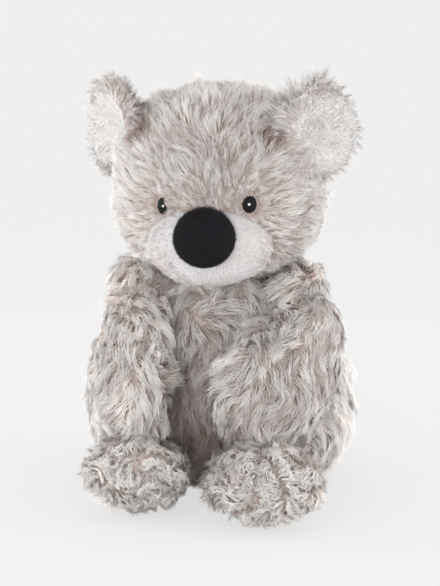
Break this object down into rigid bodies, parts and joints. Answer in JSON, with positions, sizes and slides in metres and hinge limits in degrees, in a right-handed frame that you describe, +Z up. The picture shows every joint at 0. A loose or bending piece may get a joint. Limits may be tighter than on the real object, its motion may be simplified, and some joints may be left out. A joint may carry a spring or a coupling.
{
  "type": "plush koala",
  "caption": "Seated stuffed toy koala of long grey fur, with a white muzzle, a black velour nose, round lined ears, floppy arms and large feet with curly soles.",
  "frame": {"origin": "on the floor under the middle of the seat, half way between the sides of the body", "axes": "+Z up, -Y the way the toy faces, +X its own left side"},
  "size_m": [0.1805, 0.1892, 0.2568],
  "materials": {
    "grey_fur": "long warm grey pile with pale tips and dark roots, lying in ruffled locks",
    "curly_fur": "short crinkled grey pile with cream tips",
    "white_fur": "short dense white pile",
    "black_velour": "matte black velour with a faint sheen",
    "black_thread": "black satin-stitched thread",
    "white_thread": "white satin-stitched thread",
    "stuffing": "loose polyester fibre",
    "pouch_cloth": "plain closely woven cotton"
  },
  "bodies": {
    "body": {"body_cover": "grey_fur", "body_filling": "stuffing", "pellet_pouch": "pouch_cloth"},
    "head": {"head_cover": "grey_fur", "head_filling": "stuffing", "muzzle_cover": "white_fur", "nose_cover": "black_velour", "nose_filling": "stuffing", "eye_left": "black_thread", "eye_glint_left": "white_thread", "eye_right": "black_thread", "eye_glint_right": "white_thread"},
    "ear_left": {"ear_back_left": "grey_fur", "ear_lining_left": "white_fur"},
    "ear_right": {"ear_back_right": "grey_fur", "ear_lining_right": "white_fur"},
    "arm_left": {"arm_cover_left": "grey_fur", "arm_filling_left": "stuffing"},
    "arm_right": {"arm_cover_right": "grey_fur", "arm_filling_right": "stuffing"},
    "leg_left": {"leg_cover_left": "grey_fur", "leg_filling_left": "stuffing", "sole_left": "curly_fur"},
    "leg_right": {"leg_cover_right": "grey_fur", "leg_filling_right": "stuffing", "sole_right": "curly_fur"}
  },
  "joints": [
    {"name": "head_turn", "type": "hinge", "parent": "body", "child": "head", "pos_m": [0, -0.005, 0.1292], "axis": [0, 0, 1], "range_deg": [-20, 20], "stiffness_Nm_per_rad": 0.5},
    {"name": "ear_fold_left", "type": "hinge", "parent": "head", "child": "ear_left", "pos_m": [0.05503, -0.0238, 0.2176], "axis": [-0.4045, -0.2939, 0.866], "range_deg": [-15, 15], "stiffness_Nm_per_rad": 0.05},
    {"name": "ear_fold_right", "type": "hinge", "parent": "head", "child": "ear_right", "pos_m": [-0.05848, -0.01628, 0.2176], "axis": [0.3473, -0.3597, 0.866], "range_deg": [-15, 15], "stiffness_Nm_per_rad": 0.05},
    {"name": "arm_lift_left", "type": "hinge", "parent": "body", "child": "arm_left", "pos_m": [0.04565, -0.0116, 0.11932], "axis": [-0.5736, -0.8192, 0], "range_deg": [0, 45], "stiffness_Nm_per_rad": 0.1},
    {"name": "arm_lift_right", "type": "hinge", "parent": "body", "child": "arm_right", "pos_m": [-0.04565, -0.0116, 0.11932], "axis": [-0.5736, 0.8192, 0], "range_deg": [0, 45], "stiffness_Nm_per_rad": 0.1},
    {"name": "leg_splay_left", "type": "hinge", "parent": "body", "child": "leg_left", "pos_m": [0.0415, -0.04292, 0.0265], "axis": [0, 0, 1], "range_deg": [0, 20], "stiffness_Nm_per_rad": 0.2},
    {"name": "leg_splay_right", "type": "hinge", "parent": "body", "child": "leg_right", "pos_m": [-0.03901, -0.03828, 0.0265], "axis": [0, 0, -1], "range_deg": [0, 20], "stiffness_Nm_per_rad": 0.2}
  ]
}
